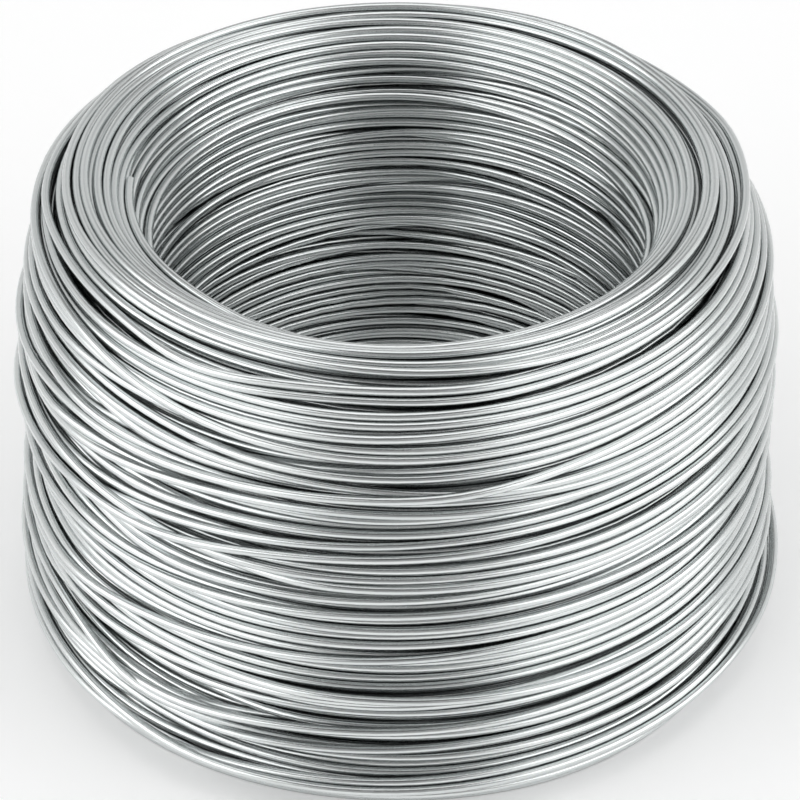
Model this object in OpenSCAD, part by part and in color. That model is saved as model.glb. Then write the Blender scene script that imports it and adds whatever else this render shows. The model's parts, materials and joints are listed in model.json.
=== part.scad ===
// Coil of galvanized steel wire: one long wire wound into a ring with an open bore.
// The coil is one turned solid. The turns of its skin stand out as ridges on the foot, the outer wall and
// the domed top, and the bore is a plain round wall along the inner crests of the innermost turns.
// It stands on its flat end, with the origin at the middle of that end and +Z up along the axis.

/* [Wire] */
// Diameter of the wire
wire_d = 1.5; // [1.2:0.1:2.4]
// Depth that the turns are worn flat where they bear on the floor or on a spindle
bearing_flat = 0.02; // [0.01:0.005:0.05]

/* [Coil] */
// Clear diameter of the bore
bore_d = 84; // [50:1:140]
// Thickness of the winding at the foot of the coil, from the bore to the outside
winding_t = 23.5; // [20:0.5:40]
// Height of the coil at its crown
coil_h = 82; // [50:1:120]
// How far the outer wall leans in between the foot and the shoulder
wall_lean = 1.8; // [0:0.1:3]

/* [Domed top] */
// Distance from the bore out to the crown of the dome
crown_offset = 9.7; // [7:0.1:12]
// Fall of the dome from its crown to the outer wall
outer_drop = 18.5; // [8:0.5:24]
// Fall of the dome from its crown to the bore
inner_drop = 12.5; // [6:0.5:18]

/* [Foot] */
// Radius of the foot's edges, at the bore and outside
foot_r = 3.5; // [2:0.1:5]

/* [Hidden] */
// Steps in each curved stretch of the section's outline
ARC_STEPS = 48;
// Step along the outline over which its direction is read, in mm
HEADING_STEP = 0.1;

wire_r = wire_d / 2;
bore_r = bore_d / 2;
outer_r = bore_r + winding_t;

// The outline runs through the centres of the skin's turns, from the bore's lower edge around the
// outside to its upper edge.
skin_in = bore_r + wire_r - bearing_flat;
skin_foot = wire_r - bearing_flat;
skin_out = outer_r - wire_r;
skin_top = coil_h - wire_r;
shoulder_out = skin_out - wall_lean;
crown_r = bore_r + crown_offset;

// Points along a quarter of an ellipse, from one angle to another
function quarter(centre, half_r, half_z, from, to) =
    [for (i = [0:ARC_STEPS])
        let (a = from + (to - from) * i / ARC_STEPS)
        centre + [half_r * cos(a), half_z * sin(a)]];

foot_edge_in = quarter([skin_in + foot_r, skin_foot + foot_r], foot_r, foot_r, 180, 270);
foot_edge_out = quarter([skin_out - foot_r, skin_foot + foot_r], foot_r, foot_r, 270, 360);
dome_out = quarter([crown_r, skin_top - outer_drop], shoulder_out - crown_r, outer_drop, 0, 90);
dome_in = quarter([crown_r, skin_top - inner_drop], crown_r - skin_in, inner_drop, 90, 180);
outline = concat(foot_edge_in, foot_edge_out, dome_out, dome_in);

// Length of the outline from its start to each of its points
function lengths(points, i = 0, sum = 0) =
    i == len(points) - 1
        ? [sum]
        : concat([sum], lengths(points, i + 1, sum + norm(points[i + 1] - points[i])));

outline_s = lengths(outline);
r_along = [for (i = [0:len(outline) - 1]) [outline_s[i], outline[i][0]]];
z_along = [for (i = [0:len(outline) - 1]) [outline_s[i], outline[i][1]]];
outline_length = outline_s[len(outline) - 1];

// Point of the outline at a distance from its start, and the direction in which it runs there
function place(s) = [lookup(s, r_along), lookup(s, z_along)];
function heading(s) =
    let (step = place(s + HEADING_STEP) - place(s - HEADING_STEP))
    step / norm(step);

// Turns of the skin, evenly spaced from one end of the outline to the other and just touching
turn_spaces = ceil(outline_length / wire_d);
turn_pitch = outline_length / turn_spaces;

// Ridge of a turn, along and out from its centre: a crest between two flanks at 45 degrees
crest_half = wire_r * tan(22.5);
flank = wire_r / 2;
ridge = [
    [-crest_half - flank, wire_r - flank],
    [-crest_half, wire_r],
    [crest_half, wire_r],
    [crest_half + flank, wire_r - flank]
];
ridges = [for (i = [0:turn_spaces])
    let (ahead = heading(i * turn_pitch), out = [ahead[1], -ahead[0]])
    for (point = ridge)
        place(i * turn_pitch) + point[0] * ahead + point[1] * out];

// Section of the winding: the packed turns with the ridges of the skin, and the wall of the bore
module winding_section() {
    polygon(ridges);
    translate([bore_r, foot_edge_in[0][1]])
        square([wire_d, dome_in[ARC_STEPS][1] - foot_edge_in[0][1]]);
}

// What the spindle and the floor leave free
module bearing_limits() {
    translate([bore_r, 0])
        square([winding_t, coil_h]);
}

module wire_coil() {
    color([0.68, 0.70, 0.71])
        rotate_extrude($fn = 180)
            intersection() {
                winding_section();
                bearing_limits();
            }
}

wire_coil();
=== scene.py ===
"""Looks of a coil of galvanized steel wire: the real wire, wound turn by turn around the bore."""

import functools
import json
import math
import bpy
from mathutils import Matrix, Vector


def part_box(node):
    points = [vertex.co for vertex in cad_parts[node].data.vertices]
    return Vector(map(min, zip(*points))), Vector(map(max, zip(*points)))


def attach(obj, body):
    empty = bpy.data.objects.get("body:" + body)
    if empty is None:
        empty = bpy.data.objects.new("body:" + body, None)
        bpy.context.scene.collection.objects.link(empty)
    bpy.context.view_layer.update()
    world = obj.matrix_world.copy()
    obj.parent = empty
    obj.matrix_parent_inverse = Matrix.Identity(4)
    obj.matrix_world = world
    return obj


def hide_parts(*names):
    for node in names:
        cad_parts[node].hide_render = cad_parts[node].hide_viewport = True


bl_info = {
    "name": "Galvanized wire coil",
    "version": (1, 0, 0),
    "blender": (4, 5, 0),
    "location": "3D View > Sidebar > Wire Coil",
    "description": "Winds a coil of galvanized steel wire turn by turn and lights it on a pale floor",
    "category": "Add Mesh",
}

from collections import namedtuple

import bpy
import numpy as np
from bpy.props import FloatProperty, FloatVectorProperty, IntProperty, PointerProperty
from mathutils import Vector

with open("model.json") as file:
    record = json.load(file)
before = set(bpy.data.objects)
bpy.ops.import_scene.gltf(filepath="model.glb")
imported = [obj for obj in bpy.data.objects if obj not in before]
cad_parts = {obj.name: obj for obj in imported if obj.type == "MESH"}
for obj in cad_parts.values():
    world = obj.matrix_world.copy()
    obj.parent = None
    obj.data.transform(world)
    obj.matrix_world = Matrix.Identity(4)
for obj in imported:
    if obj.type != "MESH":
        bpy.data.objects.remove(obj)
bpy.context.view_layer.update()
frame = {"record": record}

_, COIL_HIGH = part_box("wire_coil")
BORE = next(m for m in frame["record"]["mounts"] if m["name"] == "bore")
MM = 0.001

# Stations round one turn, how many are laid at a time, and how many more are looked at before and
# after
STATIONS = 128
STRETCH = 64
OVERLAP = 24
# Turns that no layer comes to, and how many turns back the wire is rested on
MOST_TURNS = 60
TURNS_BACK = 190


# ---------------------------------------------------------------- the shape of the winding


# How far past the shoulder the dome's curve would meet the floor upright, in mm, and how far along
# their curves the dome and the mandrel's flare are followed
DOME_REACH = 2.0
DOME_END = 0.995
FLARE_END = 0.9999
# The foot's outer edge is rounder than its inner edge by this
OUTER_FOOT = 0.4

OUTLINE_SIZES = "wire_d bore_r outer_r height crown_offset outer_drop inner_drop foot_r wall_lean"


class Outline(namedtuple("Outline", OUTLINE_SIZES)):
    """Where the centres of the outermost turns lie, in millimetres, as radius and height."""

    @property
    def inner(self):
        return self.bore_r + self.wire_d / 2

    @property
    def outer(self):
        return self.outer_r - self.wire_d / 2

    @property
    def top(self):
        return self.height - self.wire_d / 2

    @property
    def floor(self):
        return self.wire_d / 2

    @property
    def crown(self):
        return self.bore_r + self.crown_offset

    def dome(self, r):
        """Height of the domed top at a radius."""
        inward = np.clip((self.crown - r) / (self.crown - self.inner), 0, 1)
        reach = self.outer - self.wall_lean + DOME_REACH - self.crown
        outward = np.clip((r - self.crown) / reach, 0, DOME_END)
        return (
            self.top
            - self.inner_drop * (1 - np.sqrt(1 - inward**2))
            - self.outer_drop * (1 - np.sqrt(1 - outward**2))
        )

    def foot(self, r):
        """Height of the foot, with its rounded edges, at a radius."""
        inside = (self.inner + self.foot_r - r) / self.foot_r
        outside = (r - (self.outer - OUTER_FOOT * self.foot_r)) / (OUTER_FOOT * self.foot_r)
        t = np.clip(np.maximum(inside, outside), 0, 1)
        return self.floor + self.foot_r * (1 - np.sqrt(1 - t**2))

    def wall(self, z):
        """Radius of the outer wall, and of the dome over it, at a height."""
        shoulder = self.top - self.outer_drop
        up = np.clip((z - self.floor) / (shoulder - self.floor), 0, 1)
        over = np.clip((z - shoulder) / self.outer_drop, 0, 1)
        lean = self.outer - self.wall_lean * up
        return lean - (self.outer - self.wall_lean - self.crown) * (1 - np.sqrt(1 - over**2))

    def mandrel(self, z):
        """Radius at which a turn lies on the bare mandrel, which flares at both ends."""
        t = np.clip((z - (self.top - self.inner_drop)) / self.inner_drop, 0, FLARE_END)
        b = np.clip((self.floor + self.foot_r - z) / self.foot_r, 0, 1)
        flare_top = (self.crown - self.inner) * (1 - np.sqrt(1 - t**2))
        flare_low = self.foot_r * (1 - np.sqrt(1 - b**2))
        return self.inner + np.maximum(flare_top, flare_low)


# ---------------------------------------------------------------- winding the wire


def noise(rng, count, scale):
    """Smooth random run of numbers with unit spread. Features are about scale stations long."""
    white = rng.standard_normal(count)
    pass_band = np.exp(-0.5 * (2 * np.pi * np.fft.rfftfreq(count) * scale) ** 2)
    smooth = np.fft.irfft(np.fft.rfft(white) * pass_band, count)
    return smooth / smooth.std()


def bell(width):
    """Weights of a smooth average over a few stations."""
    x = np.arange(-3 * width, 3 * width + 1)
    weights = np.exp(-0.5 * (x / width) ** 2)
    return weights / weights.sum()


def soften(values, weights):
    """Values averaged along the wire, with the ends held."""
    half = len(weights) // 2
    return np.convolve(np.pad(values, half, mode="edge"), weights, mode="valid")


def smoothstep(t):
    """Eases from 0 to 1."""
    t = np.clip(t, 0, 1)
    return t * t * (3 - 2 * t)


# How the wire is laid in the core, in the bore's wall, behind it, in the skin, in the last layer
# and in the loose turns over it. Pitch is the space from turn to turn, gap how much wider some spaces
# are in mm, and open how common these are. Hull is how stiffly the wire bridges dips, settle how
# long it slides into the grooves below, pull how firmly it is led, and wob, sway and drift how far
# it strays in mm over short to long stretches.
CORE, WALL, BACKING, SKIN, LAST, LOOSE = range(6)
LAY = {
    "pitch": (1.55, 1.60, 1.60, 1.54, 1.66, 2.40),
    "gap": (0.0, 3.0, 1.2, 0.3, 1.2, 1.6),
    "open": (-0.6, 0.1, 0.1, -0.6, -0.6, -0.6),
    "hull": (2, 3, 3, 2, 2, 2),
    "settle": (12, 8, 8, 10, 10, 10),
    "pull": (0.03, 0.10, 0.08, 0.12, 0.14, 0.12),
    "wob": (0.02, 0.05, 0.05, 0.04, 0.04, 0.05),
    "sway": (0.04, 0.35, 0.25, 0.20, 0.25, 0.35),
    "drift": (0.15, 1.00, 0.80, 0.50, 0.60, 0.60),
}
# How long these strays are, in stations, and how long a wider space is
STRAYS = {"wob": 12, "sway": 34, "drift": 220}
SPACE_LENGTH = 90
# How far a turn slides down a slope at a time, and the least rise that a slope is taken over, both
# in wires
SLIDE = 0.16
LEAST_RISE = 0.22
# How many half wires up or down a turn, and a loose turn, moves aside for a lower place
DODGE = 5
LOOSE_DODGE = 2
# What moving aside costs, and what standing proud of the wall costs
ASIDE_COST = 0.02
PROUD_COST = 0.5
# Mean rise in mm from layer to layer
LAYER_RISE = 1.45
# Turns over which the wire moves on to the next layer
CROSSING = 0.9
# How deep in mm the skin lies inside the outline, and how far above the foot the last layer over it
# stops
SKIN_DEPTH = 1.9
LAST_LAYER_LIFT = 2.6
# How far above the outline the layers run at the top, where the turns then settle
TOP_LIFT = 0.3

# Clefts between bunches of turns: height, place round the coil in turns, half length in turns, and
# width. The bore's run through the innermost layers, the outside's through the outermost.
BORE_CLEFT_LAYERS = 3
OUTER_CLEFT_LAYERS = 5
BORE_CLEFTS = (
    (73, 0.28, 0.12, 1.6), (67.5, 0.20, 0.18, 2.2), (61, 0.26, 0.22, 2.6),
    (54, 0.19, 0.12, 2.0), (50.5, 0.32, 0.10, 1.8), (40, 0.24, 0.25, 2.8),
    (33, 0.75, 0.20, 2.4), (25, 0.27, 0.20, 2.6), (13, 0.24, 0.15, 2.0),
    (58, 0.78, 0.15, 2.4), (46, 0.62, 0.12, 2.0), (20, 0.85, 0.15, 2.2),
)
OUTER_CLEFTS = (
    (64.5, 0.74, 0.11, 3.2), (59.5, 0.71, 0.09, 2.8), (45.5, 0.72, 0.11, 3.4),
    (33, 0.80, 0.07, 2.2), (18.5, 0.75, 0.10, 3.0), (60, 0.10, 0.10, 2.0),
    (36, 0.01, 0.05, 3.0), (24, 0.22, 0.12, 2.2), (43, 0.51, 0.05, 3.0),
    (12, 0.42, 0.10, 2.0), (12, 0.98, 0.05, 2.6),
)
# How sharp a cleft's edge is, and over what height it fades, in mm
CLEFT_EDGE = 0.3
CLEFT_FADE = 3

# The loose last turns run up the outside, tilted this way and that. Each row is the height in mm at
# the right, back, left and front of one turn.
LOOSE_HEIGHTS = (
    (4, 4, 6, 6), (7, 9, 12, 12), (13, 14, 21, 23), (18, 22, 25, 33),
    (34, 28, 38, 42), (38, 38, 47, 54), (55, 50, 62, 62), (66, 64, 64, 64),
)
# Part of the last loose turn that is there: the wire ends at the back
LAST_TURN = 0.25
# Where these turns stand off the coil in loops: place round the coil in turns, height, and distance
# in mm outside the wall
LOOPS = (
    (0.94, 7, 2.8), (0.88, 6, 1.2), (0.5, 6, 0.4), (0.5, 12, 1.4), (0.0, 13, 1.0), (0.0, 18, 0.5),
    (0.5, 25, 0.5), (0.0, 35, 0.1), (0.5, 38, 0.0), (0.51, 47, 0.4), (0.0, 55, 0.1),
)
# How far the loops reach, in turns, and how far their ends dip towards the coil, in mm
LOOP_SPREAD = 0.06
LOOP_DIP = 3.0
# Hollows in the winding under the last layer, and bulges with a depth below zero: height, place
# round the coil in turns, half height, half length in turns, and depth
HOLLOWS = (
    (32, 0.0, 14, 0.08, 1.0), (48, 0.5, 12, 0.07, 1.4), (33, 0.5, 4, 0.06, 1.0),
    (2, 0.65, 7, 0.07, -1.4), (2, 0.86, 8, 0.06, -1.4), (9, 0.95, 5, 0.04, 0.8),
)

# The wire's start: its length in turns, and in mm how far out from the bore its cut end lies, how
# far over the dome it comes in, and how far it drops onto the bore's first turn
TAIL_TURNS = 1.506
TAIL_OUT = 2.1
TAIL_OVER = 2.6
TAIL_DROP = 2.0
# Times that the tail sinks a little and is then pushed off the turns below it
TAIL_STEPS = 160
TAIL_PUSHES = 2
TAIL_SINK = 0.05


def aside(turn, place):
    """How far round the coil stations are from a place, in turns."""
    return (turn - place + 0.5) % 1 - 0.5


def clefts(z, turn, places):
    """How far the clefts push a turn up or down."""
    push = np.zeros_like(z)
    for height, place, reach, width in places:
        off = z - height
        near = np.exp(-0.5 * (aside(turn, place) / reach) ** 2)
        push += width / 2 * near * np.tanh(off / CLEFT_EDGE) * np.exp(-np.abs(off) / CLEFT_FADE)
    return push


def hollows(z, turn):
    """How deep the hollows are at a height and place."""
    depth = np.zeros_like(z)
    for height, place, high, reach, most in HOLLOWS:
        round_off, up_off = aside(turn, place) / reach, (z - height) / high
        depth += most * np.exp(-0.5 * round_off**2 - 0.5 * up_off**2)
    return depth


class Winder:
    """Lays one wire, stretch by stretch, on the turns that are already there."""

    def __init__(self, outline, layers, seed):
        self.outline, self.layers = outline, layers
        rng = np.random.default_rng(seed)
        count = MOST_TURNS * (layers + 1) * STATIONS
        self.r, self.z = np.full(count, np.nan), np.full(count, np.nan)
        self.stray = {key: noise(rng, count, length) for key, length in STRAYS.items()}
        self.spaces = noise(rng, count, SPACE_LENGTH)
        self.guide, self.stand = np.zeros(count), np.full(count, -1.0)
        self.style, self.layer_at = np.zeros(count, int), np.zeros(count, int)
        self.laid, self.led, self.end = 0, 0, count
        self.styles = (WALL, WALL, BACKING, *[CORE] * (layers - 5), SKIN, LAST)
        self.layer, self.way = 0, -1
        self.height = float(outline.dome(outline.inner))
        self.step_up, self.step_at = 0.0, -STATIONS
        self.limit()

    def limit(self):
        """Sets how far down and up the present layer runs."""
        r = self.outline.inner
        if self.layer:
            below = np.median(self.r[max(0, self.laid - 6 * STATIONS) : self.laid])
            r = max(below + LAYER_RISE, r + self.layer)
        self.low, self.high = float(self.outline.foot(r)), float(self.outline.dome(r)) + TOP_LIFT
        if self.layer == self.layers - 1:
            self.low += LAST_LAYER_LIFT

    def lead(self, upto):
        """Leads the guide up and down the layers to a station, or to the last layer's end."""
        middle = (self.low + self.high) / 2
        while self.led < min(upto, self.end):
            style = self.styles[self.layer]
            wide = max(0.0, self.spaces[self.led] + LAY["open"][style])
            self.height += self.way * (LAY["pitch"][style] + LAY["gap"][style] * wide) / STATIONS
            outside = not self.low <= self.height <= self.high
            if outside and (self.height - middle) * self.way > 0:
                if self.layer == self.layers - 1:
                    self.finish()
                    return
                before = self.height + self.crossing()
                self.layer, self.way = self.layer + 1, -self.way
                self.limit()
                middle = (self.low + self.high) / 2
                self.height = self.low if self.way > 0 else self.high
                self.step_up, self.step_at = before - self.height, self.led
            self.guide[self.led] = self.height + self.crossing()
            self.style[self.led], self.layer_at[self.led] = style, self.layer
            self.led += 1

    def crossing(self):
        """What is left of the step from the last layer's end to this one's start."""
        return self.step_up * (1 - smoothstep((self.led - self.step_at) / (CROSSING * STATIONS)))

    def finish(self):
        """Leads the guide up or down the outside in the loose turns, from the last layer's end."""
        start = math.ceil(self.led / STATIONS) * STATIONS
        self.end = start + len(LOOSE_HEIGHTS) * STATIONS
        rest = slice(self.led, self.end)
        t = (np.arange(self.led, self.end) - start) / STATIONS
        heights = np.ravel(LOOSE_HEIGHTS[:: -self.way])
        quarters = (t[0] - 0.01, *np.arange(len(heights)) / 4)
        self.guide[rest] = np.interp(t, quarters, (self.height, *heights))
        self.style[rest], self.layer_at[rest] = LOOSE, self.layers
        wall = self.outline.wall(self.guide[rest])
        for place, height, off in LOOPS:
            passes = place + np.arange(len(LOOSE_HEIGHTS))
            away = np.abs(np.interp(passes, t, self.guide[rest]) - height)
            near = np.exp(-0.5 * ((t - passes[np.argmin(away)]) / LOOP_SPREAD) ** 2)
            loop = wall + off - (off + LOOP_DIP) * (1 - near)
            self.stand[rest] = np.maximum(self.stand[rest], loop)
        self.led = self.end

    def rest(self, z, r_below, z_below):
        """Radius at which the wire rests on what lies below it, and the slope of that sideways."""
        d = self.outline.wire_d
        bare = self.outline.mandrel(z)
        off = z[None] - z_below
        rise = np.sqrt(np.maximum(d**2 - off**2, 0))
        on_turn = np.where(np.abs(off) < d, r_below + rise, -1.0)
        top = np.argmax(on_turn, 0)
        here = np.arange(len(z))
        highest = on_turn[top, here]
        slope = off[top, here] / np.maximum(rise[top, here], LEAST_RISE * d)
        return np.maximum(highest, bare), np.where(highest > bare, slope, 0)

    def dodge(self, aim, part, free, r_below, z_below, most):
        """Shift up or down that takes a stretch to the lowest place near its way."""
        shifts = [k * self.outline.wire_d / 2 for k in range(-most, most + 1)]
        costs = []
        for shift in shifts:
            way = part(aim + shift * free)
            proud = self.rest(way, r_below, z_below)[0] - self.outline.wall(way)
            cost = np.mean(proud + PROUD_COST * np.maximum(proud, 0) ** 2)
            costs.append(cost + ASIDE_COST * shift**2)
        return shifts[int(np.argmin(costs))] * free

    def lay(self):
        """Lays one stretch along the guide: it slides into the grooves and bridges the dips."""
        d, floor = self.outline.wire_d, self.outline.floor
        held = min(self.laid, OVERLAP)
        s = np.arange(self.laid - held, min(self.laid + STRETCH + OVERLAP, self.led))
        manner = {key: np.array(values, float)[self.style[s]] for key, values in LAY.items()}
        aim = self.guide[s] + sum(manner[key] * run[s] for key, run in self.stray.items())
        layer = self.layer_at[s]
        aim += (layer < BORE_CLEFT_LAYERS) * clefts(aim, s / STATIONS, BORE_CLEFTS)
        below = s - STATIONS * np.arange(1, TURNS_BACK + 1)[:, None]
        nowhere = -99.0
        r_below = np.where(below < 0, nowhere, self.r[below])
        z_below = np.where(below < 0, nowhere, self.z[below])
        before = np.where(np.isnan(self.z[s]), np.maximum(aim, floor), self.z[s])
        tied = 1 - smoothstep((s - self.laid + 1) / OVERLAP) if held else 0 * aim

        def part(way):
            """The way, pushed aside by the clefts of the outer layers."""
            outside = layer >= self.layers - OUTER_CLEFT_LAYERS
            return np.maximum(way + outside * clefts(way, s / STATIONS, OUTER_CLEFTS), floor)

        if self.style[s].max() >= SKIN:
            most = LOOSE_DODGE if layer.max() == self.layers else DODGE
            aim += self.dodge(aim, part, 1 - tied, r_below, z_below, most)
        aim = part(aim)
        z = tied * before + (1 - tied) * aim
        settle = int(manner["settle"].max())
        for i in range(settle):
            _, slope = self.rest(z, r_below, z_below)
            z = z + np.clip(slope, -1, 1) * SLIDE * d * (1 - i / (settle + 4))
            z = np.maximum(soften(z + manner["pull"] * (aim - z), bell(4)), floor)
            z = tied * before + (1 - tied) * z
        on, _ = self.rest(z, r_below, z_below)
        on = np.maximum(on, self.stand[s])
        r = on.copy()
        r[:held] = self.r[s[:held]]
        for _ in range(int(manner["hull"].max())):
            r = np.maximum(on, soften(r, bell(3)))
            r[:held] = self.r[s[:held]]
        self.r[s[held:]], self.z[s[held:]] = r[held:], z[held:]
        self.laid = min(self.laid + STRETCH, self.end)

    def wind(self):
        """Winds the whole wire: radius and height at each station, and the layer of each turn."""
        pressed = False
        while self.laid < self.end:
            self.lead(self.laid + STRETCH + OVERLAP)
            self.lay()
            if not pressed and self.layer_at[self.laid - 1] == self.layers - 1:
                self.press_round()
                pressed = True
        r, z = (soften(run[: self.end], bell(2)) for run in (self.r, self.z))
        return r, z, self.layer_at[STATIONS // 2 : self.end : STATIONS]

    def press_round(self):
        """Evens out how thick the winding is, all round, before the last layer goes on."""
        shoulder = self.outline.top - self.outline.outer_drop
        r, z = self.r[: self.laid], self.z[: self.laid]
        height, column = np.minimum(z, shoulder), np.arange(self.laid) % STATIONS
        whole = self.outline.wall(height) - self.outline.inner
        proud = r - self.outline.inner - whole
        skin = (self.layer_at[: self.laid] == self.layers - 2) & (z < shoulder)
        slope, _ = np.polyfit(z[skin], proud[skin], 1)
        level = np.bincount(column[skin], (proud - slope * height)[skin])
        level = level / np.bincount(column[skin])
        level = np.convolve(np.tile(level, 3), bell(6), mode="same")[STATIONS : 2 * STATIONS]
        depth = SKIN_DEPTH + hollows(z, column / STATIONS)
        squeeze = (whole - depth) / (whole + level[column] + slope * height)
        r[:] = self.outline.inner + (r - self.outline.inner) * squeeze


def wind_tail(outline, r_turns, z_turns):
    """The wire's start, from its cut end on the dome, over the inner shoulder and into the bore."""
    count = int(round(TAIL_TURNS * STATIONS))
    stations = np.arange(-count, 1)
    column = stations % STATIONS
    # Place along the tail, from 0 at the cut end to 1 at the bore's first turn
    u = (stations + count) / count
    r_end, r_join, z_join = outline.inner + TAIL_OUT, r_turns[0, 0], z_turns[0, 0]
    r_free = outline.inner - outline.wire_d
    off_dome, to_wall = smoothstep(u / 0.55), smoothstep((u - 0.72) / 0.28)
    r = r_end + (r_free - r_end) * off_dome + (r_join - r_free) * to_wall
    over = outline.dome(np.maximum(r, outline.inner)) + TAIL_OVER
    down, onto_turn = smoothstep((u - 0.15) / 0.5), smoothstep((u - 0.75) / 0.25)
    z = over + (z_join + TAIL_DROP - over) * down - TAIL_DROP * onto_turn
    on_dome, joining = u < 0.45, u > 0.9
    r_pull = 0.03 + 0.10 * (u < 0.25)
    z_pull = 0.02 * (u > 0.45)
    r_aim, z_aim = r.copy(), z.copy()
    r_below, z_below = r_turns[:, column], z_turns[:, column]
    here = np.arange(len(r))

    def nearest_turn():
        """The way to the tail from the nearest turn below it, and its distance."""
        dr, dz = r[None] - r_below, z[None] - z_below
        apart = np.hypot(dr, dz)
        apart[0, joining] = 9.0
        nearest = np.argmin(apart, 0)
        return dr[nearest, here], dz[nearest, here], apart[nearest, here]

    for _ in range(TAIL_STEPS):
        z = z - TAIL_SINK * on_dome + z_pull * (z_aim - z)
        r = r + r_pull * (r_aim - r)
        r, z = soften(r, bell(3)), soften(z, bell(3))
        r[-1], z[-1] = r_join, z_join
        for _ in range(TAIL_PUSHES):
            dr, dz, apart = nearest_turn()
            push = np.maximum(0, outline.wire_d - apart) / np.maximum(apart, 1e-3)
            r, z = r + dr * push, z + dz * push
    return r[:-1], z[:-1]


Wire = namedtuple("Wire", "r z layer_of tail")


@functools.lru_cache(maxsize=1)
def wound_wire(outline, layers, seed):
    """The whole wire: its run through all stations, each turn's layer, and the tail's stations."""
    r, z, layer_of = Winder(outline, layers, seed).wind()
    r_tail, z_tail = wind_tail(outline, r.reshape(-1, STATIONS), z.reshape(-1, STATIONS))
    return Wire(np.concatenate([r_tail, r]), np.concatenate([z_tail, z]), layer_of, len(r_tail))


# ---------------------------------------------------------------- meshes


# Radius in mm at which the zinc's streaks keep their length along the wire
STREAK_R = 53.0
# Each turn is a strip of the bake's map, with this edge and span along and across. The map's right
# edge has the discs of the cut ends: their middle, half width and half height, and how far up its
# strip a run's first and last one lies.
STRIP_LEFT, STRIP_LENGTH = 0.01, 0.97
STRIP_EDGE, STRIP_SPAN = 0.06, 0.88
END_MIDDLE, END_HALF_WIDTH, END_HALF_HEIGHT = 0.990, 0.005, 0.18
FIRST_END, LAST_END = 0.28, 0.72


def rings(wire, start, stop, sides, step, radius):
    """Rings of points round the wire, the same points on a straight rod, and their stations."""
    index = np.append(np.arange(start, stop, step), stop)
    r, z = wire.r[index], wire.z[index]
    turn = (index - wire.tail) * 2 * math.pi / STATIONS
    a = np.arange(sides) * 2 * math.pi / sides
    out, up = radius * np.cos(a), radius * np.sin(a)
    ring_r, ring_z = r[:, None] + out, z[:, None] + up
    x, y = ring_r * np.cos(turn)[:, None], ring_r * np.sin(turn)[:, None]
    along = (index * 2 * math.pi / STATIONS) * STREAK_R
    rod = [np.broadcast_to(values, ring_r.shape) for values in (along[:, None], out, up)]
    return np.stack([x, y, ring_z], -1), np.stack(rod, -1), index


def side_map(lap, turns, strip, strips, sides):
    """The bake's map of a run's sides, from how many laps each ring lies along the run."""
    row = np.minimum(lap[:-1].astype(int), turns - 1)
    low = np.broadcast_to(np.arange(sides) / sides, (len(row), sides))
    high = low + 1 / sides

    def place(u, v):
        across = (strip + row[:, None] + STRIP_EDGE + STRIP_SPAN * v) / strips
        along = STRIP_LEFT + STRIP_LENGTH * np.broadcast_to((u - row)[:, None], v.shape)
        return np.stack([along, across], -1)

    near, far = lap[:-1], lap[1:]
    corners = [place(near, low), place(far, low), place(far, high), place(near, high)]
    return np.stack(corners, 2).reshape(-1, 2)


def end_map(strip, middle, strips, sides):
    """The bake's map of a cut end: a small disc beside its strip."""
    a = np.arange(sides) * 2 * math.pi / sides
    u = END_MIDDLE + END_HALF_WIDTH * np.cos(a)
    v = (strip + middle + END_HALF_HEIGHT * np.sin(a)) / strips
    return np.stack([u, v], -1)


def tube_mesh(name, wire, runs, sides, step, radius):
    """One mesh of several runs of the wire, each closed by its two cut ends."""
    points, rods, faces, maps = [], [], [], []
    laps = [max(1, math.ceil((stop - start) / STATIONS)) for start, stop in runs]
    strips = sum(laps)
    count, strip = 0, 0
    around = np.arange(sides)
    for (start, stop), turns in zip(runs, laps):
        ring, rod, index = rings(wire, start, stop, sides, step, radius)
        n = len(index)
        i = count + np.arange(n - 1)[:, None] * sides
        j, k = around[None], (around[None] + 1) % sides
        faces += [
            np.stack([i + j, i + sides + j, i + sides + k, i + k], -1).reshape(-1, 4),
            (count + around)[None],
            (count + (n - 1) * sides + around[::-1])[None],
        ]
        maps += [
            side_map((index - start) / STATIONS, turns, strip, strips, sides),
            end_map(strip, FIRST_END, strips, sides),
            end_map(strip + turns - 1, LAST_END, strips, sides),
        ]
        points.append(ring.reshape(-1, 3))
        rods.append(rod.reshape(-1, 3))
        count += n * sides
        strip += turns
    points, rods = np.concatenate(points) * MM, np.concatenate(rods) * MM
    return build_mesh(name, points, faces, rods, np.concatenate(maps))


def build_mesh(name, points, faces, rods, uvs):
    """The mesh of quads and cut ends. Only the cut ends are flat, with sharp edges."""
    corners = np.concatenate([face.ravel() for face in faces])
    sizes = np.concatenate([np.full(len(face), face.shape[1]) for face in faces])
    mesh = bpy.data.meshes.new(name)
    mesh.vertices.add(len(points))
    mesh.vertices.foreach_set("co", points.ravel())
    mesh.loops.add(len(corners))
    mesh.loops.foreach_set("vertex_index", corners)
    mesh.polygons.add(len(sizes))
    mesh.polygons.foreach_set("loop_start", np.concatenate([[0], np.cumsum(sizes)[:-1]]))
    mesh.polygons.foreach_set("loop_total", sizes)
    mesh.update(calc_edges=True)
    mesh.polygons.foreach_set("use_smooth", sizes == 4)
    at_end = np.zeros(len(points), bool)
    at_end[np.concatenate([face.ravel() for face in faces if face.shape[1] != 4])] = True
    edges = np.zeros(2 * len(mesh.edges), np.int32)
    mesh.edges.foreach_get("vertices", edges)
    mesh.edges.foreach_set("use_edge_sharp", at_end[edges.reshape(-1, 2)].all(1))
    rod = mesh.attributes.new("rod", "FLOAT_VECTOR", "POINT")
    rod.data.foreach_set("vector", rods.ravel())
    mesh.uv_layers.new(name="OFBake").uv.foreach_set("vector", uvs.ravel())
    return mesh


# ---------------------------------------------------------------- materials


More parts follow.
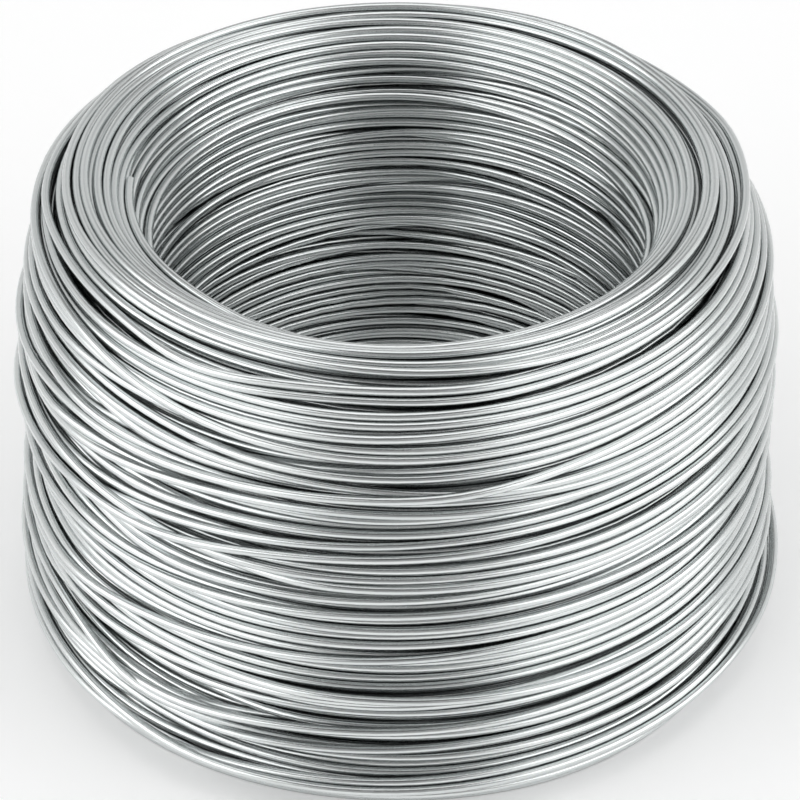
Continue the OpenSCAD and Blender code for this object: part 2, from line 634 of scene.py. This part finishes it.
# Sockets of a Mix node that mixes colours
MIX_FACTOR, MIX_FIRST, MIX_SECOND = 0, 6, 7

# Scale along and across the wire of the zinc's streaks, patches and specks, and each one's detail
# and roughness
STREAKS = ((45, 2600, 2600), 3.0, 0.55)
PATCHES = ((14, 260, 260), 2.0, 0.5)
SPECKS = ((900, 1500, 1500), 1.0, 0.5)
# How far off a neighbour the painted shade darkens a groove, in metres, and how open the groove is
# where that painted shade ends
GROOVE_SHADE_REACH = 0.003
GROOVE_SHUT, GROOVE_OPEN = 0.02, 0.42
# Height of the streaks, in metres, and how strongly they show
STREAK_HEIGHT = 0.00004
STREAK_STRENGTH = 0.25


def add_node(tree, kind, **settings):
    """Adds a shader node with its properties set."""
    node = tree.nodes.new(kind)
    for key, value in settings.items():
        setattr(node, key, value)
    return node


def add_ramp(tree, value, low, high, to_low, to_high, **settings):
    """Carries a value from one range to another."""
    node = add_node(tree, "ShaderNodeMapRange", **settings)
    names = ("From Min", "From Max", "To Min", "To Max")
    for key, number in zip(names, (low, high, to_low, to_high)):
        node.inputs[key].default_value = number
    tree.links.new(value, node.inputs["Value"])
    return node.outputs["Result"]


def add_math(tree, operation, first, second=0.0, **settings):
    """Joins two values, of which each is a number or comes from another node."""
    node = add_node(tree, "ShaderNodeMath", operation=operation, **settings)
    for socket, value in zip(node.inputs, (first, second)):
        if isinstance(value, float):
            socket.default_value = value
        else:
            tree.links.new(value, socket)
    return node.outputs["Value"]


def zinc_material(finish):
    """Bright drawn zinc: a metal with streaks along the wire, soft patches and specks, and painted
    shade in the grooves between turns.
    """
    material = bpy.data.materials.new("galvanized_zinc")
    material.use_nodes = True
    tree = material.node_tree
    shader = tree.nodes["Principled BSDF"]
    link = tree.links.new
    rod = add_node(tree, "ShaderNodeAttribute", attribute_name="rod")

    def stretched(scale, detail, rough):
        """Noise drawn out along the wire."""
        mapping = add_node(tree, "ShaderNodeMapping")
        mapping.inputs["Scale"].default_value = scale
        link(rod.outputs["Vector"], mapping.inputs["Vector"])
        texture = add_node(tree, "ShaderNodeTexNoise")
        texture.inputs["Scale"].default_value = 1.0
        texture.inputs["Detail"].default_value = detail
        texture.inputs["Roughness"].default_value = rough
        link(mapping.outputs["Vector"], texture.inputs["Vector"])
        return texture.outputs["Fac"]

    def tint(under, colour, much):
        """Lays a colour over what is under it, as much as a value says."""
        node = add_node(tree, "ShaderNodeMix", data_type="RGBA")
        link(under, node.inputs[MIX_FIRST])
        node.inputs[MIX_SECOND].default_value = (*colour, 1)
        link(much, node.inputs[MIX_FACTOR])
        return node.outputs[2]

    streaks, patches, specks = stretched(*STREAKS), stretched(*PATCHES), stretched(*SPECKS)
    # Ambient occlusion from the neighbouring turns, which sets where the painted shade falls in the
    # grooves
    groove_occlusion = add_node(tree, "ShaderNodeAmbientOcclusion", samples=4)
    groove_occlusion.inputs["Distance"].default_value = GROOVE_SHADE_REACH
    streaked = add_node(tree, "ShaderNodeMix", data_type="RGBA")
    streaked.inputs[MIX_FIRST].default_value = (*finish.dull, 1)
    streaked.inputs[MIX_SECOND].default_value = (*finish.bright, 1)
    link(add_ramp(tree, streaks, 0.3, 0.7, 0, 1), streaked.inputs[MIX_FACTOR])
    colour = streaked.outputs[2]
    colour = tint(colour, finish.patch, add_ramp(tree, patches, 0.5, 0.72, 0, 0.45))
    colour = tint(colour, finish.speck, add_ramp(tree, specks, 0.72, 0.80, 0, 0.6))
    # Painted shade: the base colour darkens towards the groove shade colour where neighbouring turns
    # close the groove
    painted_shade = add_ramp(tree, groove_occlusion.outputs["AO"], GROOVE_SHUT, GROOVE_OPEN, 0.7, 0)
    colour = tint(colour, finish.groove_shade, painted_shade)
    link(colour, shader.inputs["Base Color"])
    shader.inputs["Metallic"].default_value = 1.0
    rough = add_ramp(tree, streaks, 0.25, 0.75, finish.least_rough, finish.most_rough)
    link(rough, shader.inputs["Roughness"])
    bump = add_node(tree, "ShaderNodeBump")
    bump.inputs["Strength"].default_value = STREAK_STRENGTH
    bump.inputs["Distance"].default_value = STREAK_HEIGHT
    link(streaks, bump.inputs["Height"])
    link(bump.outputs["Normal"], shader.inputs["Normal"])
    return material


def stage_material(colour, glow):
    """A pale floor that keeps the shadow. Where it is seen, also in the metal, a glow lifts it."""
    material = bpy.data.materials.new("pale_floor")
    material.use_nodes = True
    tree = material.node_tree
    shader = tree.nodes["Principled BSDF"]
    shader.inputs["Base Color"].default_value = (*colour, 1)
    shader.inputs["Roughness"].default_value = 0.9
    shader.inputs["Emission Color"].default_value = (1, 1, 1, 1)
    seen = add_node(tree, "ShaderNodeLightPath").outputs
    in_metal = add_math(tree, "ADD", seen["Is Camera Ray"], seen["Is Glossy Ray"])
    in_glass = add_math(tree, "ADD", in_metal, seen["Is Transmission Ray"])
    lift = add_math(tree, "MULTIPLY", in_glass, glow, use_clamp=True)
    tree.links.new(lift, shader.inputs["Emission Strength"])
    return material


# ---------------------------------------------------------------- settings


class CoilSizes(bpy.types.PropertyGroup):
    """Sizes of the wire and of the coil that it is wound to."""

    wire_d: FloatProperty(
        name="Wire", description="Diameter of the wire",
        default=0.0015, unit="LENGTH", precision=4,
    )
    bore_r: FloatProperty(
        name="Bore", description="Radius of the bore",
        default=BORE["dims"]["r_mm"] * MM, unit="LENGTH", precision=4,
    )
    outer_r: FloatProperty(
        name="Outside", description="Radius of the coil at its foot",
        default=COIL_HIGH.x, unit="LENGTH", precision=4,
    )
    height: FloatProperty(
        name="Height", description="Height of the coil at its crown",
        default=COIL_HIGH.z, unit="LENGTH", precision=4,
    )
    crown_offset: FloatProperty(
        name="Crown", description="Distance from the bore out to the crown of the dome",
        default=0.0097, unit="LENGTH", precision=4,
    )
    outer_drop: FloatProperty(
        name="Outer drop", description="Fall of the dome from its crown to the outer wall",
        default=0.0185, unit="LENGTH", precision=4,
    )
    inner_drop: FloatProperty(
        name="Inner drop", description="Fall of the dome from its crown to the bore",
        default=0.0125, unit="LENGTH", precision=4,
    )
    foot_r: FloatProperty(
        name="Foot edge", description="Radius of the foot's edges",
        default=0.0035, unit="LENGTH", precision=4,
    )
    wall_lean: FloatProperty(
        name="Lean", description="How far the outer wall leans in at the shoulder",
        default=0.0018, unit="LENGTH", precision=4,
    )
    layers: IntProperty(
        name="Layers", description="Layers of turns from the bore to the outside",
        default=15, min=6, max=18,
    )
    seed: IntProperty(
        name="Seed", description="Number that the stray of the turns is drawn from", default=3,
    )

    def outline(self):
        return Outline(*(round(getattr(self, key) / MM, 4) for key in Outline._fields))

    def wire(self):
        return wound_wire(self.outline(), self.layers, self.seed)


class ZincFinish(bpy.types.PropertyGroup):
    """Colours and roughness of the zinc, and the colour of the painted shade in its grooves."""

    dull: FloatVectorProperty(
        name="Dull streaks", description="Colour of the duller streaks along the wire",
        default=(0.66, 0.69, 0.69), size=3, subtype="COLOR",
    )
    bright: FloatVectorProperty(
        name="Bright streaks", description="Colour of the brighter streaks along the wire",
        default=(0.80, 0.825, 0.82), size=3, subtype="COLOR",
    )
    patch: FloatVectorProperty(
        name="Patches", description="Colour of the soft, duller patches",
        default=(0.58, 0.615, 0.62), size=3, subtype="COLOR",
    )
    speck: FloatVectorProperty(
        name="Specks", description="Colour of the small bright specks",
        default=(0.85, 0.88, 0.9), size=3, subtype="COLOR",
    )
    # Painted shade: the dark base colour that the grooves between turns are darkened to where
    # neighbouring turns shade them
    groove_shade: FloatVectorProperty(
        name="Grooves", description="Colour deep in the grooves between turns",
        default=(0.10, 0.105, 0.11), size=3, subtype="COLOR",
    )
    least_rough: FloatProperty(
        name="Least roughness", description="Roughness of the smoothest streaks",
        default=0.17, min=0, max=1, subtype="FACTOR",
    )
    most_rough: FloatProperty(
        name="Most roughness", description="Roughness of the roughest streaks",
        default=0.30, min=0, max=1, subtype="FACTOR",
    )


class StudioSettings(bpy.types.PropertyGroup):
    """Floor, light and camera."""

    floor_colour: FloatVectorProperty(
        name="Floor", description="Colour of the floor",
        default=(0.93, 0.93, 0.93), size=3, subtype="COLOR",
    )
    floor_glow: FloatProperty(
        name="Floor glow", description="How much the floor is lifted where it is seen",
        default=0.16,
    )
    walls: FloatProperty(
        name="Walls", description="Strength of the light from the pale walls all round",
        default=0.76,
    )
    front: FloatProperty(
        name="Front wall", description="Strength of the front wall against the others",
        default=0.48,
    )
    ceiling: FloatProperty(
        name="Ceiling", description="Strength of the light from the dark ceiling",
        default=0.13,
    )
    key: FloatProperty(
        name="Side lights", description="Power of each soft light beside the coil",
        default=7.0, unit="POWER",
    )
    top: FloatProperty(
        name="Top light", description="Power of the soft light above the coil",
        default=3.7, unit="POWER",
    )
    elevation: FloatProperty(
        name="Elevation", description="Height of the camera above the horizon",
        default=math.radians(37.76), subtype="ANGLE",
    )
    distance: FloatProperty(
        name="Distance", description="Distance of the camera from the point that it looks at",
        default=0.520, unit="LENGTH",
    )
    aim: FloatVectorProperty(
        name="Aim", description="Point that the camera looks at",
        default=(0.00035, 0, 0.0337), size=3, subtype="XYZ", unit="LENGTH", precision=4,
    )
    lens: FloatProperty(
        name="Lens", description="Focal length of the camera in millimetres",
        default=134.9, min=1,
    )


# ---------------------------------------------------------------- pieces


# Most triangles that one piece may have
MOST_TRIANGLES = 200_000
# How deep in mm the pieces of the dome and of the foot reach into the winding
END_DEPTH = 4.6


def add_piece(context, name, runs, sides=10, step=1):
    """Makes one piece of the wound wire from runs of stations and hangs it on the coil's body."""
    sizes = context.scene.coil_sizes
    mesh = tube_mesh(name, sizes.wire(), runs, sides, step, sizes.wire_d / MM / 2)
    zinc = bpy.data.materials.get("galvanized_zinc") or zinc_material(context.scene.coil_zinc)
    mesh.materials.append(zinc)
    triangles = len(mesh.loops) - 2 * len(mesh.polygons)
    if triangles >= MOST_TRIANGLES:
        raise RuntimeError(f"{name} has {triangles} triangles")
    piece = bpy.data.objects.new(name, mesh)
    context.scene.collection.objects.link(piece)
    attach(piece, "root")
    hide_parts("wire_coil")


def runs_where(wire, chosen):
    """Runs of stations over the turns that are chosen."""
    edges = np.flatnonzero(np.diff(np.concatenate([[0], chosen.astype(int), [0]])))
    last = len(wire.r) - 1
    first_and_next = wire.tail + edges.reshape(-1, 2) * STATIONS
    return [(start, min(stop, last)) for start, stop in first_and_next.tolist()]


def turn_zones(context):
    """The wire, and the name of the part of the coil that each turn belongs to."""
    sizes = context.scene.coil_sizes
    wire, outline = sizes.wire(), sizes.outline()
    r = wire.r[wire.tail :].reshape(-1, STATIONS).mean(1)
    z = wire.z[wire.tail :].reshape(-1, STATIONS).mean(1)
    zones = np.full(len(r), "core", dtype=object)
    zones[z > outline.dome(r) - END_DEPTH] = "dome"
    zones[z < outline.foot(r) + END_DEPTH] = "foot"
    zones[wire.layer_of == 0] = "bore"
    zones[wire.layer_of == 1] = "bore_backing"
    zones[(wire.layer_of == sizes.layers - 3) & (zones == "core")] = "under_backing"
    zones[wire.layer_of == sizes.layers - 2] = "outer_backing"
    zones[wire.layer_of == sizes.layers - 1] = "outer"
    zones[wire.layer_of == sizes.layers] = "loose"
    return wire, zones


def add_zone(context, zone, sides=10, step=1):
    """Adds the piece that has all the turns of one zone."""
    wire, zones = turn_zones(context)
    add_piece(context, f"{zone}_turns", runs_where(wire, zones == zone), sides, step)


class COIL_OT_bore_turns(bpy.types.Operator):
    """Adds the turns that line the bore, and those behind them"""

    bl_idname = "coil.bore_turns"
    bl_label = "Bore turns"

    def execute(self, context):
        add_zone(context, "bore")
        add_zone(context, "bore_backing", sides=8)
        return {"FINISHED"}


class COIL_OT_core_turns(bpy.types.Operator):
    """Adds the turns hidden inside the winding"""

    bl_idname = "coil.core_turns"
    bl_label = "Core turns"

    def execute(self, context):
        add_zone(context, "core", sides=5, step=3)
        return {"FINISHED"}


class COIL_OT_end_turns(bpy.types.Operator):
    """Adds the turns of the domed top and of the foot"""

    bl_idname = "coil.end_turns"
    bl_label = "Dome and foot turns"

    def execute(self, context):
        add_zone(context, "dome")
        add_zone(context, "foot", sides=8)
        return {"FINISHED"}


class COIL_OT_outer_turns(bpy.types.Operator):
    """Adds the outer layers and the loose last turns over them"""

    bl_idname = "coil.outer_turns"
    bl_label = "Outer turns"

    def execute(self, context):
        add_zone(context, "under_backing", sides=8, step=2)
        add_zone(context, "outer_backing", sides=8)
        add_zone(context, "outer")
        wire, zones = turn_zones(context)
        start, stop = runs_where(wire, zones == "loose")[0]
        add_piece(context, "loose_turns", [(start, stop - round((1 - LAST_TURN) * STATIONS))])
        return {"FINISHED"}


class COIL_OT_inner_tail(bpy.types.Operator):
    """Adds the wire's start, which lies loose over the inner shoulder"""

    bl_idname = "coil.inner_tail"
    bl_label = "Inner tail"

    def execute(self, context):
        add_piece(context, "inner_tail", [(0, context.scene.coil_sizes.wire().tail)])
        return {"FINISHED"}


# ---------------------------------------------------------------- stage


# Half the floor's width in metres
FLOOR_HALF = 2.0
# Each soft light: place, width and depth in metres, and the setting that has its power
SOFTBOXES = {
    "left_softbox": ((-1.0, -0.45, 0.62), (1.6, 1.2), "key"),
    "right_softbox": ((1.0, -0.45, 0.62), (1.6, 1.2), "key"),
    "top_softbox": ((0, 0.15, 1.15), (1.1, 0.9), "top"),
}
# Between which directions the walls turn into the ceiling, the ceiling gives way to the sides, and
# the front wall to the others. Each is a share of the way up, aside or back.
CEILING_EDGE = (0.50, 0.76)
CEILING_SIDES = (0.30, 0.75)
FRONT_EDGE = (-1.0, -0.35)
# What is left of the dark ceiling over the sides
CEILING_LEFT = 0.25


def add_floor(scene, studio):
    """Lays the pale floor under the coil."""
    half = FLOOR_HALF
    corners = [(-half, -half, 0), (half, -half, 0), (half, half, 0), (-half, half, 0)]
    mesh = bpy.data.meshes.new("floor")
    mesh.from_pydata(corners, [], [(0, 1, 2, 3)])
    mesh.materials.append(stage_material(studio.floor_colour, studio.floor_glow))
    floor = bpy.data.objects.new("floor", mesh)
    scene.collection.objects.link(floor)


def light_world(scene, studio):
    """Lights the coil from pale walls, dimmer in front, and a ceiling dark over the middle."""
    scene.world = bpy.data.worlds.new("studio")
    scene.world.use_nodes = True
    tree = scene.world.node_tree
    background = tree.nodes["Background"]
    background.inputs["Color"].default_value = (1, 1, 1, 1)
    direction = add_node(tree, "ShaderNodeTexCoord")
    split = add_node(tree, "ShaderNodeSeparateXYZ")
    tree.links.new(direction.outputs["Generated"], split.inputs["Vector"])

    def grade(value, edge, start, end):
        """Goes smoothly from one strength to another between two directions."""
        return add_ramp(tree, value, *edge, start, end, interpolation_type="SMOOTHSTEP")

    sideways = add_math(tree, "ABSOLUTE", split.outputs["X"])
    over_middle = grade(sideways, CEILING_SIDES, 1.0, CEILING_LEFT)
    above = grade(split.outputs["Z"], CEILING_EDGE, 0.0, 1.0)
    overhead = add_math(tree, "MULTIPLY", above, over_middle)
    around = grade(split.outputs["Y"], FRONT_EDGE, studio.front, 1.0)
    pale = add_math(tree, "MULTIPLY", around, studio.walls)
    darker = add_math(tree, "MULTIPLY", overhead, 1.0 - studio.ceiling / studio.walls)
    dimmed = add_math(tree, "SUBTRACT", 1.0, darker)
    tree.links.new(add_math(tree, "MULTIPLY", pale, dimmed), background.inputs["Strength"])


def add_softboxes(scene, studio):
    """Hangs the soft lights beside and above the coil, turned to its middle."""
    middle = Vector((0, 0, COIL_HIGH.z / 2))
    for name, (place, size, power) in SOFTBOXES.items():
        light = bpy.data.lights.new(name, "AREA")
        light.shape = "RECTANGLE"
        light.size, light.size_y = size
        light.energy = getattr(studio, power)
        lamp = bpy.data.objects.new(name, light)
        lamp.location = place
        lamp.rotation_euler = (middle - Vector(place)).to_track_quat("-Z", "Y").to_euler()
        scene.collection.objects.link(lamp)


def add_camera(scene, studio):
    """Sets the camera in front of the coil, looking down at it."""
    camera = bpy.data.objects.new("camera", bpy.data.cameras.new("camera"))
    back = Vector((0, -math.cos(studio.elevation), math.sin(studio.elevation)))
    camera.location = Vector(studio.aim) + studio.distance * back
    camera.rotation_euler = (-back).to_track_quat("-Z", "Y").to_euler()
    camera.data.sensor_width = 36
    camera.data.lens = studio.lens
    camera.data.clip_start = 0.01
    scene.collection.objects.link(camera)
    scene.camera = camera


class COIL_OT_stage(bpy.types.Operator):
    """Adds the pale floor, the soft lights and the camera"""

    bl_idname = "coil.stage"
    bl_label = "Stage"

    def execute(self, context):
        scene, studio = context.scene, context.scene.coil_studio
        add_floor(scene, studio)
        light_world(scene, studio)
        add_softboxes(scene, studio)
        add_camera(scene, studio)
        scene.view_settings.view_transform = "Standard"
        return {"FINISHED"}


class COIL_PT_panel(bpy.types.Panel):
    """Lists the settings and the steps that make the coil"""

    bl_idname = "COIL_PT_panel"
    bl_label = "Galvanized wire coil"
    bl_space_type = "VIEW_3D"
    bl_region_type = "UI"
    bl_category = "Wire Coil"

    def draw(self, context):
        layout = self.layout
        scene = context.scene
        for settings in (scene.coil_sizes, scene.coil_zinc, scene.coil_studio):
            column = layout.column()
            for key in settings.__annotations__:
                column.prop(settings, key)
        for operator in OPERATORS:
            layout.operator(operator.bl_idname)


SETTINGS = (CoilSizes, ZincFinish, StudioSettings)
OPERATORS = (
    COIL_OT_bore_turns,
    COIL_OT_core_turns,
    COIL_OT_end_turns,
    COIL_OT_outer_turns,
    COIL_OT_inner_tail,
    COIL_OT_stage,
)
CLASSES = SETTINGS + OPERATORS + (COIL_PT_panel,)


def register():
    for cls in CLASSES:
        bpy.utils.register_class(cls)
    bpy.types.Scene.coil_sizes = PointerProperty(type=CoilSizes)
    bpy.types.Scene.coil_zinc = PointerProperty(type=ZincFinish)
    bpy.types.Scene.coil_studio = PointerProperty(type=StudioSettings)


def unregister():
    del bpy.types.Scene.coil_studio
    del bpy.types.Scene.coil_zinc
    del bpy.types.Scene.coil_sizes
    for cls in reversed(CLASSES):
        bpy.utils.unregister_class(cls)


def main():
    register()
    bpy.ops.coil.bore_turns()
    bpy.ops.coil.core_turns()
    bpy.ops.coil.end_turns()
    bpy.ops.coil.outer_turns()
    bpy.ops.coil.inner_tail()
    bpy.ops.coil.stage()


if __name__ == "__main__":
    main()
